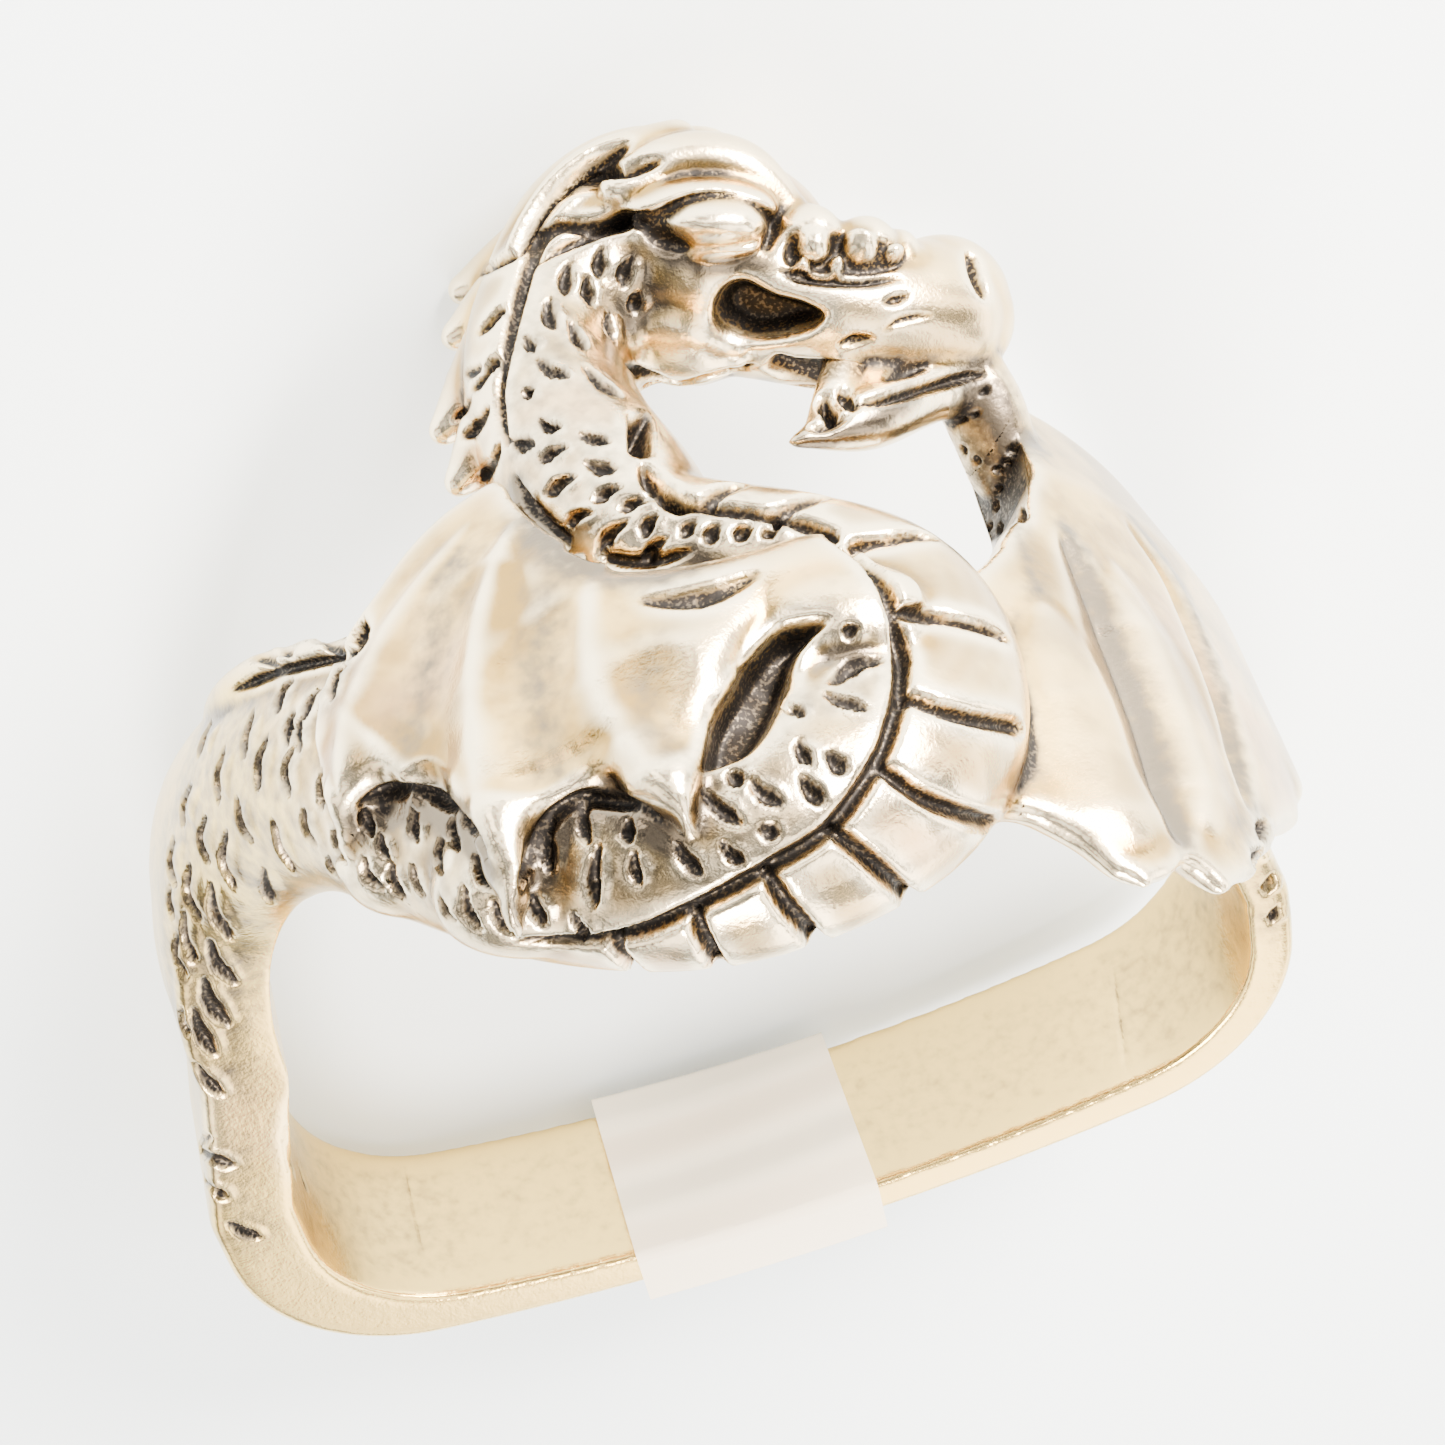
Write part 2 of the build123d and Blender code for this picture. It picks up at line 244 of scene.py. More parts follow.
def wing(rows, middle, height, wall=0.0, undercut=0.0):
    """A wing's slab: its outline filled, thickened, bent onto its shell and thinned at its free edge.

    Without a wall it goes down to the finger hole. Undercut is how far its inner edge gives way below.
    """
    border = outline(rows, middle)
    bm = bmesh.new()
    face = bm.faces.new([bm.verts.new((p.x, p.y, 0)) for p in border])
    lifted = bmesh.ops.extrude_face_region(bm, geom=[face])["geom"]
    bmesh.ops.translate(bm, verts=[g for g in lifted if isinstance(g, bmesh.types.BMVert)], vec=(0, 0, 1))
    bmesh.ops.triangulate(bm, faces=bm.faces)
    made = remeshed(new_object("wing", bm), slab_fine)
    x, s, t = read(made).T
    outer = height(x, s)
    deepest = np.sqrt(np.maximum((hole_radius - hole_overlap) ** 2 - x ** 2, 1))
    inner = outer - wall if wall else deepest
    free = from_edge(np.stack([x, s], 1), np.array([(p.x, p.y) for p in border]))
    room = outer - inner
    if undercut:
        edge = np.where(s > free_from, (1 - unit(free / thin_width)) ** 2, 0)
        outer, inner = outer - thin_outside * edge * room, inner + thin_inside * edge * room
        foot = unit((x - foot_start) / foot_length)
        outer = outer - foot_thinning * room * foot * foot * (3 - 2 * foot)
        x = x + (undercut * (1 - t) * unit(1 - free / undercut_width) * (x < 0)
                 * unit((undercut_end - s) / undercut_fade))
    else:
        edge = unit(1 - free / lip_width) ** 2
        outer = outer - lip_drop * edge * room * (s > free_from)
    z = inner + t * (outer - inner)
    write(made, np.outer(z, outward(middle)) + np.outer(x, outward(middle + 90)) + np.outer(s, (0, 0, 1)))
    return made


# The limbs. Columns: angle, along, lift, half width and half height in girths
tail_rows = [
    (-94, 0.00, 0.14, 0.84, 0.46),
    (-72, 0.00, 0.12, 0.88, 0.58),
    (-57, 0.06, 0.12, 0.90, 0.62),
    (-44, 0.18, 0.13, 0.92, 0.70),
    (-34, 0.34, 0.15, 0.93, 0.76),
    (-25, 0.54, 0.17, 0.98, 0.78),
    (-14, 0.78, 0.18, 0.99, 0.82),
    (-2, 0.92, 0.20, 1.00, 0.86),
    (9, 0.90, 0.21, 0.94, 0.84),
    (15.5, 0.79, 0.21, 0.92, 0.84),
    (18.5, 0.66, 0.22, 0.82, 0.82),
    (17.5, 0.55, 0.23, 0.74, 0.80),
    (12, 0.47, 0.25, 0.66, 0.78),
    (5, 0.41, 0.28, 0.64, 0.78),
    (0, 0.34, 0.32, 0.64, 0.78),
    (-2, 0.20, 0.38, 0.68, 0.76),
    (-3.5, 0.02, 0.42, 0.64, 0.74),
    (-3.5, -0.14, 0.46, 0.62, 0.74),
    (-1, -0.27, 0.49, 0.66, 0.78),
    (4, -0.36, 0.52, 0.78, 0.84),
    (9, -0.39, 0.54, 0.88, 0.90),
    (13, -0.38, 0.55, 0.93, 0.92),
]
head_rows = [
    (11, -0.38, 0.55, 0.90, 0.90),
    (14, -0.37, 0.55, 0.90, 0.90),
    (17, -0.33, 0.55, 0.82, 0.82),
    (20, -0.27, 0.54, 0.70, 0.68),
    (24, -0.22, 0.54, 0.62, 0.60),
    (30, -0.22, 0.55, 0.58, 0.56),
    (34.5, -0.25, 0.55, 0.59, 0.56),
    (37, -0.27, 0.54, 0.50, 0.48),
]
jaw_rows = [
    (38, -0.17, 0.42, 0.28, 0.28),
    (31, -0.07, 0.38, 0.27, 0.26),
    (24, 0.04, 0.38, 0.22, 0.22),
    (16.5, 0.10, 0.38, 0.06, 0.06),
]
fang_rows = [
    (25, -0.15, 0.46, 0.18, 0.18),
    (22, -0.03, 0.42, 0.15, 0.15),
    (18.5, 0.06, 0.40, 0.05, 0.05),
]
back_teeth_rows = [
    (28, -0.14, 0.46, 0.18, 0.18),
    (25.5, -0.04, 0.42, 0.16, 0.16),
    (23, 0.03, 0.40, 0.12, 0.12),
]
horn_rows = [
    (15, -0.50, 0.92, 0.20, 0.18),
    (8, -0.52, 0.91, 0.22, 0.20),
    (2, -0.47, 0.84, 0.22, 0.20),
    (-3, -0.37, 0.76, 0.17, 0.15),
    (-6.5, -0.30, 0.70, 0.07, 0.07),
]
ear_rows = [
    (12, -0.44, 1.07, 0.18, 0.14),
    (5, -0.42, 1.02, 0.20, 0.16),
    (-0.5, -0.34, 0.92, 0.16, 0.14),
    (-4.5, -0.24, 0.82, 0.07, 0.07),
]
brow_rows = [
    (6, -0.33, 1.03, 0.14, 0.12),
    (11, -0.37, 1.08, 0.20, 0.16),
    (16, -0.35, 1.04, 0.22, 0.18),
    (20, -0.28, 0.90, 0.12, 0.10),
]
crest_rows = [
    (-53, -0.09, 0.26, 0.14, 0.12),
    (-46, 0.00, 0.34, 0.24, 0.26),
    (-36, 0.14, 0.42, 0.24, 0.28),
    (-26, 0.30, 0.46, 0.18, 0.20),
    (-18, 0.42, 0.48, 0.10, 0.10),
]
shoulder_rows = [
    (3, 0.66, 0.60, 0.40, 0.34),
    (9, 0.72, 0.62, 0.46, 0.38),
    (13.5, 0.74, 0.60, 0.44, 0.38),
    (16, 0.74, 0.48, 0.36, 0.30),
]
# Spines of the mane. Columns: angle and along of the root, the same of the tip, thickness
mane_rows = [
    (1, -0.54, -8.2, -0.57, 0.50),
    (0, -0.46, -10.2, -0.44, 0.54),
    (-2, -0.37, -11.2, -0.30, 0.54),
    (-3, -0.30, -14.0, -0.19, 0.60),
    (-5, -0.14, -14.0, -0.03, 0.54),
]
# The rough block between the nose and the right wing
bridge_rows = [
    (37.5, -0.17, 0.44, 0.30, 0.30),
    (40.5, -0.10, 0.34, 0.33, 0.32),
    (44, -0.04, 0.20, 0.32, 0.28),
]
# The wings' outlines. Columns: angle, along, lift, bulge of the side up to the next corner
left_wing_rows = [
    (-9.2, 0.20, 0.74, 0.03),
    (-21.5, 0.30, 0.70, 0.02),
    (-30.2, 0.46, 0.62, 0.01),
    (-31.2, 0.68, 0.64, 0.00),
    (-28.6, 0.69, 0.66, -0.03),
    (-24.0, 0.735, 0.67, -0.03),
    (-20.8, 0.83, 0.67, -0.02),
    (-19.6, 0.96, 0.66, 0.00),
    (-19.0, 1.10, 0.62, 0.00),
    (-16.4, 1.04, 0.66, -0.04),
    (-11.6, 0.955, 0.68, -0.04),
    (-7.8, 1.01, 0.70, -0.02),
    (-4.8, 1.11, 0.70, 0.00),
    (-2.8, 1.03, 0.70, 0.00),
    (0.0, 0.90, 0.72, 0.00),
    (3.3, 0.80, 0.74, 0.00),
    (6.3, 0.74, 0.76, 0.00),
    (10.5, 0.745, 0.76, 0.00),
    (15.5, 0.80, 0.76, 0.05),
    (14.6, 0.68, 0.76, 0.04),
    (9.5, 0.59, 0.76, -0.03),
    (-3.1, 0.57, 0.76, -0.03),
]
right_wing_rows = [
    (43, -0.21, 0.36, 0.00),
    (92, -0.21, 0.34, 0.00),
    (94, 0.21, 0.32, 0.00),
    (88, 0.38, 0.28, 0.02),
    (73, 0.66, 0.20, 0.02),
    (60, 0.87, 0.12, 0.01),
    (54.8, 0.975, 0.12, 0.01),
    (48.6, 1.06, 0.13, 0.01),
    (43.9, 1.015, 0.14, 0.00),
    (40.8, 1.07, 0.15, 0.01),
    (38.4, 1.105, 0.15, 0.01),
    (35.8, 1.08, 0.16, 0.00),
    (32.9, 1.02, 0.17, 0.00),
    (29.1, 0.975, 0.18, 0.00),
    (24, 0.96, 0.20, 0.00),
    (24.5, 0.74, 0.40, 0.00),
    (28.3, 0.46, 0.38, 0.00),
    (32.3, 0.38, 0.38, -0.01),
    (37.4, 0.255, 0.38, -0.01),
    (40.3, 0.12, 0.38, 0.00),
    (41.4, -0.03, 0.37, 0.00),
]
# Lumps. Columns: angle, along, lift, half width, length and height in girths, and sometimes a turn
head_lumps = [
    (12, -0.27, 0.95, 0.56, 0.30, 0.24, 8),
    (20.6, -0.235, 0.84, 0.26, 0.26, 0.28),
    (25.2, -0.22, 0.82, 0.27, 0.27, 0.28),
    (28.4, -0.235, 0.80, 0.18, 0.20, 0.22),
    (35.5, -0.28, 0.57, 0.54, 0.52, 0.54),
]
# Fullness of the body under the left wing's scallops and round the pit
body_lumps = [
    (-25.0, 0.65, 0.26, 0.90, 0.56, 0.56),
    (-12.0, 0.88, 0.27, 1.20, 0.68, 0.62),
    (0.5, 0.86, 0.52, 0.46, 0.36, 0.40),
    (5.5, 0.79, 0.55, 0.46, 0.34, 0.38),
]
# The wings' shells. Columns: along, lift
left_wing_shell = [(0.16, 0.76), (0.52, 0.86), (0.80, 0.86), (1.00, 0.78), (1.20, 0.68)]
right_wing_shell = [(-0.30, 0.32), (0.10, 0.42), (0.50, 0.36), (0.85, 0.22), (1.20, 0.08)]
left_shell_centre = 0.32 * hole_radius
right_wing_middle = 60
# What turns the tail's section from squared to round: at these angles, the power on its circle
tail_corners = ((-94, -62, -50), (0.35, 0.7, 1))
# The mane's spines: lift of the root and of the tip, thickness of the tip
root_lift, tip_lift, tip_thick = 0.44, 0.42, 0.13


def rim(bm):
    return [edge for edge in bm.edges if edge.is_boundary]


def trimmed(bm, place, way):
    """Cuts a mesh by a plane and clears what lies beyond it."""
    geom = bm.verts[:] + bm.edges[:] + bm.faces[:]
    bmesh.ops.bisect_plane(bm, geom=geom, plane_co=place, plane_no=way, clear_outer=True)


def band():
    """The plain band and the lower shank, from the frame's own node."""
    bm = bmesh.new()
    bm.from_mesh(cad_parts["dragon_ring"].data)
    bmesh.ops.transform(bm, matrix=(to_metres @ laid).inverted(), verts=bm.verts)
    bmesh.ops.remove_doubles(bm, verts=bm.verts, dist=0.0005)
    rest = bm.copy()
    trimmed(bm, (0, band_top, 0), (0, 1, 0))
    bmesh.ops.holes_fill(bm, edges=rim(bm))
    trimmed(rest, (0, shank_bottom, 0), (0, -1, 0))
    stop = outward(shank_end)
    trimmed(rest, (0, 0, 0), (stop.y, -stop.x, 0))
    bmesh.ops.holes_fill(rest, edges=rim(rest))
    shank = bpy.data.meshes.new("shank")
    rest.to_mesh(shank)
    bm.from_mesh(shank)
    return new_object("band", bm)


def rough_ring():
    """All the forms as one closed skin."""
    bm = bmesh.new()
    limb(bm, tail_rows, square=tail_corners)
    for rows in (head_rows, jaw_rows, fang_rows, back_teeth_rows, horn_rows, ear_rows, brow_rows,
                 crest_rows, shoulder_rows, bridge_rows):
        limb(bm, rows)
    for angle, along, tip_angle, tip_along, thick in mane_rows:
        limb(bm, [(angle, along, root_lift, thick, thick),
                  (tip_angle, tip_along, tip_lift, tip_thick, tip_thick)])
    for row in head_lumps + body_lumps:
        lump(bm, *row)
    left_shell = shell_height(left_wing_shell, left_shell_centre)
    right_shell = shell_height(right_wing_shell, 0)
    forms = [new_object("forms", bm), band(), wing(left_wing_rows, 0, left_shell, wall=1.1),
             wing(right_wing_rows, right_wing_middle, right_shell, undercut=1.4)]
    whole = bmesh.new()
    for form in forms:
        whole.from_mesh(form.data)
        bpy.data.objects.remove(form)
    return new_object("clay", whole)


def read(made, what="co"):
    """The places of an object's vertices, or what way the surface faces there."""
    values = np.empty(len(made.data.vertices) * 3)
    if what == "normal":
        made.data.vertex_normals.foreach_get("vector", values)
    else:
        made.data.vertices.foreach_get("co", values)
    return values.reshape(-1, 3)


def write(made, places):
    """Moves an object's vertices to places."""
    made.data.vertices.foreach_set("co", places.ravel())
    made.data.update()
    bpy.context.view_layer.update()


def relaxed(made, values, rounds, amount=0.5, share=None):
    """The values at the vertices, evened out along the edges."""
    edges = np.empty(len(made.data.edges) * 2, int)
    made.data.edges.foreach_get("vertices", edges)
    a, b = edges.reshape(-1, 2).T
    count = len(made.data.vertices)
    links = np.bincount(a, minlength=count) + np.bincount(b, minlength=count)
    values = values.reshape(count, -1).copy()
    amount = amount if share is None else amount * share[:, None]
    for _ in range(rounds):
        total = np.stack([np.bincount(a, column[b], count) + np.bincount(b, column[a], count)
                          for column in values.T], 1)
        values += (total / links[:, None] - values) * amount
    return values


def open_hole(places):
    """Moves what reaches into the finger hole out to its wall."""
    x, y = places[:, 0], places[:, 1]
    upper = y > 0
    radius = np.hypot(x, y)
    grow = np.where(upper & (radius < hole_radius), hole_radius / np.maximum(radius, 1), 1)
    places[:, 0] = x * grow
    places[:, 1] = y * grow
    wall = hole_radius + np.clip(-y, 0, flare_depth) / flare_depth
    low = (~upper) & (y > -wall_depth) & (np.abs(x) < wall) & (np.abs(x) > wall_from)
    places[low, 0] = np.sign(x[low]) * wall[low]
    return places


clay = remeshed(rough_ring(), fine)
write(clay, relaxed(clay, read(clay), 6))
write(clay, open_hole(read(clay)))
write(clay, relaxed(clay, read(clay), 2))

# What each vertex keeps for its colour: how deep it is cut, how clean it stays, how much dirt and painted
# shade it holds
depth_cut, kept_clean, dirt_and_shade = (np.zeros(len(clay.data.vertices)) for _ in range(3))


def above_floor(places):
    """Lifts what would lie under the floor up to it."""
    up = np.array(laid.to_3x3().inverted() @ Vector((0, 0, 1)))
    height = places @ up + shift.z
    return places + np.outer(np.clip(floor_gap - height, 0, None), up)


def turn_of(places):
    """The angles of places round the finger, in degrees."""
    return np.degrees(np.arctan2(places[:, 0], places[:, 1]))


def between(values, low, high):
    return (values > low) & (values < high)


def see(u, v):
    """Where the sight line of a picture point meets the sculpture, or comes nearest to it."""
    hit, place, *_ = clay.ray_cast(eye, sight(u, v))
    if not hit:
        _, place, *_ = clay.closest_point_on_mesh(eye + sight(u, v) * eye_distance)
    return place


def trace(points):
    """A line drawn through picture points, laid on the sculpture."""
    points = np.array(points, float)
    if len(points) > 2:
        rows = np.array(blend_rows(points, curve_steps))
    else:
        rows = np.linspace(points[0], points[1], straight_steps)
    return np.array([see(u, v) for u, v in rows])


def carried_on(line, length, step=0.2):
    """A line on the sculpture with its far end led on over the surface."""
    line = list(line)
    for _ in range(int(length / step)):
        ahead = Vector(line[-1]) + (Vector(line[-1]) - Vector(line[-2])).normalized() * step
        line.append(np.array(clay.closest_point_on_mesh(ahead)[1]))
    return np.array(line)


def along_line(spots, line):
    """Each spot's distance to a line, share of the way along it and agreement with how it faces."""
    start, way = line[:-1], np.diff(line, axis=0)
    length = np.maximum((way ** 2).sum(1), 1e-9)
    t = unit(((places[spots][:, None] - start) * way).sum(2) / length)
    gap = np.linalg.norm(places[spots][:, None] - start - t[..., None] * way, axis=2)
    best = gap.argmin(1)
    rows = np.arange(len(spots))
    faces = normals[spots[gap.argmin(0)]][best]
    return gap[rows, best], (best + t[rows, best]) / len(way), (normals[spots] * faces).sum(1)


def taper(t, ends):
    """1 in the middle of a line and 0 at its ends; ends says how much of the line tapers there."""
    first, last = ends
    rise_up = unit(t / first) if first else np.ones_like(t)
    fall_off = unit((1 - t) / last) if last else np.ones_like(t)
    return np.sqrt(rise_up * fall_off)


def round_line(line, width):
    """The numbers of the vertices in a box round a line."""
    return np.flatnonzero(between(places, line.min(0) - width, line.max(0) + width).all(1))


def cut(line, width, depth, ends=(0.3, 0.3), dark=1.0, soft=1.0, slope=1.0, sharp=False):
    """A channel along a line; a negative depth raises a ridge. Slope widens the channel on one side.

    Dark is how much oxide it takes on. A negative one keeps it clean instead.
    """
    near = round_line(line, width)
    if not len(near):
        return
    gap, t, facing = along_line(near, line)
    size = taper(t, ends)
    if slope != 1:
        over = np.cross(line[-1] - line[0], places[near] - line.mean(0))
        gap = np.where((over * normals[near]).sum(1) > 0, gap / slope, gap)
    across = gap / np.maximum(width / 2 * size, 1e-6)
    if sharp:
        profile = unit(1 - across) ** crease_power
    else:
        profile = unit(1 - across ** 2) ** soft
    fall = np.where(facing > same_facing, profile, 0) * size
    moved[near] -= normals[near] * (depth * fall)[:, None]
    if dark > 0:
        depth_cut[near] = np.maximum(depth_cut[near], fall * dark)
    elif dark < 0:
        kept_clean[near] = np.maximum(kept_clean[near], unit(fall * clean_gain) * -dark)


def darken_along(line, width, amount):
    """Darkening along a line, soft at its sides, kept with the dirt and painted shade."""
    near = round_line(line, width)
    gap = along_line(near, line)[0]
    dirt_and_shade[near] = np.maximum(dirt_and_shade[near], amount * unit(1 - gap / width))


def pixels(points):
    """Where places of the ring lie in the picture."""
    rays = points - np.array(eye)
    deep = rays @ np.array(look)
    u = middle_u + focus * (rays @ np.array(side)) / deep
    v = middle_v - focus * (rays @ np.array(top)) / deep
    return np.stack([u, v], 1)


def inside(points, loop):
    """Which flat points lie inside a closed line."""
    odd = np.zeros(len(points), bool)
    for (x0, y0), (x1, y1) in zip(loop, np.roll(loop, -1, 0)):
        crosses = (y0 > points[:, 1]) != (y1 > points[:, 1])
        with np.errstate(divide="ignore", invalid="ignore"):
            odd ^= crosses & (points[:, 0] < (x1 - x0) * (points[:, 1] - y0) / (y1 - y0) + x0)
    return odd


def stamp(corners, depth, edge, dark=1.0):
    """Sinks what lies inside a loop of picture points, or raises it where the depth is negative."""
    loop = np.array(blend_rows(list(corners) + [corners[0]], curve_steps))[:-1]
    middle = np.array(see(*loop.mean(0)))
    near = np.flatnonzero(np.linalg.norm(places - middle, axis=1) < stamp_reach)
    flat = pixels(places[near])
    facing = normals[near] @ np.array(look) < stamp_facing
    good = inside(flat, loop) & facing & (np.abs((places[near] - middle) @ np.array(look)) < stamp_depth)
    near, flat = near[good], flat[good]
    far = from_edge(flat, loop) * eye_distance / focus
    fall = unit(far / edge)
    fall = fall * fall * (3 - 2 * fall) if depth > 0 else np.sqrt(fall * (2 - fall))
    way = normals[near].mean(0)
    moved[near] -= np.outer(depth * fall, way / np.linalg.norm(way))
    if dark:
        depth_cut[near] = np.maximum(depth_cut[near], unit(far / edge * stamp_dark_gain) * dark)
    elif depth < 0:
        depth_cut[near] *= 1 - unit(far / edge * stamp_clean_gain)


def settle(rounds=0, share=None):
    """Takes over what has been cut so far, and evens it out a little."""
    global places, normals, moved
    write(clay, moved)
    if rounds:
        write(clay, relaxed(clay, moved, rounds, share=share))
    places, normals = read(clay), read(clay, "normal")
    moved = places.copy()


crease_power = 1.4  # shape of a sharp crease's sides
same_facing = 0.1  # least agreement with the way the line faces
clean_gain = 3  # how far up a ridge's side it stays clean
stamp_reach, stamp_depth = 6, 2.5  # round a stamp's middle, across and along the sight
stamp_facing = 0.2  # largest turn away from the camera
stamp_dark_gain, stamp_clean_gain = 1.5, 3

moved = read(clay)
settle()

# Broad ridges and hollows of the wings. Columns: points, width, depth, whether it is a sharp crease
broad_cuts = [
    ([(500, 560), (430, 680), (395, 770)], 4.6, 0.28, False),
    ([(562, 600), (532, 700), (556, 790)], 3.6, 0.28, False),
    ([(668, 640), (650, 700), (690, 750)], 2.8, 0.14, False),
    ([(515, 520), (482, 600), (470, 690), (482, 780), (508, 866)], 1.7, -0.32, True),
    ([(592, 578), (586, 640), (602, 705), (650, 770), (690, 808)], 1.5, -0.24, True),
    ([(470, 520), (400, 610), (352, 700), (338, 790)], 1.0, -0.12, True),
    ([(1040, 600), (1070, 680), (1105, 770), (1140, 850)], 2.8, -0.22, False),
    ([(1112, 560), (1150, 640), (1187, 730), (1215, 840)], 2.0, -0.16, False),
    ([(1062, 530), (1098, 595), (1121, 646), (1155, 739), (1182, 845)], 1.8, 0.42, True),
    ([(1128, 520), (1172, 580), (1205, 650), (1232, 725), (1250, 810)], 1.0, 0.28, True),
]
# Painted shade, soft and brown, in the wings' valleys and on the block under the nose. Columns: points,
# width, amount
shaded_valleys = [
    ([(1070, 530), (1106, 595), (1129, 646), (1163, 739), (1186, 845)], 0.50, 1.5),
    ([(1136, 520), (1180, 580), (1213, 650), (1238, 725), (1256, 810)], 0.40, 1.3),
    ([(1006, 470), (1016, 520), (1040, 590)], 0.50, 0.9),
    ([(985, 395), (1005, 440), (1003, 500), (985, 535)], 1.10, 2.2),
    ([(452, 560), (424, 640), (398, 740), (392, 780)], 0.80, 0.9),
    ([(545, 590), (532, 660), (540, 740), (560, 780)], 0.70, 0.9),
    ([(650, 650), (640, 700), (668, 748), (700, 780)], 0.70, 0.9),
]
for points, width, depth, sharp in broad_cuts:
    cut(trace(points), width, depth, ends=(0.4, 0.15), dark=-0.85, soft=2, sharp=sharp)
for points, width, amount in shaded_valleys:
    darken_along(trace(points), width, amount)
settle(2)

# Evened out: the right wing's foot, the shank's end and both wings' rims
turns = turn_of(places)
on_foot = between(turns, 80, 112)
kept_clean = np.maximum(kept_clean, on_foot)
settle(12, on_foot.astype(float))
right_rim = between(turns, 20, 64) & (places[:, 2] > 8.6)
left_rim = between(turns, -34, 4) & (places[:, 2] > 5.5)
settle(5, ((turns < -80) | right_rim | left_rim).astype(float))

# The head's large forms, and what lies below them
stamp([(624, 212), (645, 202), (668, 192), (690, 184), (722, 182), (756, 192), (782, 206), (784, 228),
       (772, 252), (756, 247), (720, 250), (690, 252), (664, 250), (640, 236)],
      0.30, 0.3, dark=0.9)  # eye socket
settle()
stamp([(662, 216), (684, 197), (718, 190), (750, 198), (768, 222), (756, 246), (722, 254), (688, 248)],
      -0.50, 0.7, dark=0)  # eyeball
stamp([(786, 230), (802, 222), (850, 226), (905, 238), (902, 266), (860, 274), (800, 268), (782, 254)],
      0.16, 0.2, dark=0.95)  # bed of the bumps
settle()
bumps = [(814, 241, 18), (860, 246, 20), (893, 252, 10), (803, 263, 8), (836, 264, 8)]
bump_turns = np.arange(0, 6.2, 0.785)
bump_edge = 0.017  # millimetres for each pixel of a bump's size
for u, v, size in bumps:
    stamp([(u + size * math.cos(t), v + size * math.sin(t)) for t in bump_turns], -0.30,
          size * bump_edge, dark=0)
stamp([(708, 308), (721, 283), (744, 274), (775, 288), (807, 297), (829, 312), (816, 330), (785, 340),
       (748, 342), (721, 328)], 0.8, 0.35)  # hollow of the cheek
stamp([(757, 366), (775, 350), (800, 354), (839, 356), (868, 364), (860, 384), (838, 392), (812, 392),
       (784, 384)], 0.38, 0.3, dark=0.75)  # mouth
stamp([(622, 332), (652, 305), (700, 318), (748, 350), (725, 372), (684, 382), (645, 374)],
      -0.28, 0.6, dark=0)  # jaw muscle
stamp([(625, 366), (668, 376), (672, 396), (650, 408), (628, 400)], 0.3, 0.3, dark=0.8)  # throat
stamp([(966, 244), (980, 250), (990, 275), (992, 292), (982, 294), (970, 272)], 0.35, 0.2)  # nostril
stamp([(700, 775), (712, 715), (742, 662), (778, 622), (832, 616), (802, 652), (782, 706), (753, 752)],
      0.7, 0.3)  # pit in the coil
stamp([(628, 411), (652, 411), (653, 451), (630, 451)], 0.7, 0.2)  # slot behind the chin
stamp([(950, 385), (1004, 372), (1020, 425), (1031, 474), (1027, 510), (998, 541), (970, 553), (955, 540),
       (940, 450)], 0.06, 0.15, dark=0.62)  # rough block below the nose
settle(1)

jaw_reach, jaw_fade = 2.1, 0.5
to_jaw = np.linalg.norm(places - see(664, 326), axis=1)
settle(8, unit((jaw_reach - to_jaw) / jaw_fade))

# Darkening along the head's creases. Columns: points, width, amount
head_creases = [
    ([(797, 446), (840, 436), (880, 418), (915, 392)], 0.45, 2.0),
    ([(690, 388), (730, 394), (764, 388), (800, 398)], 0.40, 1.6),
    ([(606, 330), (620, 366), (640, 408)], 0.60, 1.5),
    ([(640, 215), (664, 250), (700, 264), (764, 262)], 0.35, 1.6),
    ([(790, 272), (830, 280), (884, 282)], 0.35, 1.4),
]
for points, width, amount in head_creases:
    darken_along(trace(points), width, amount)

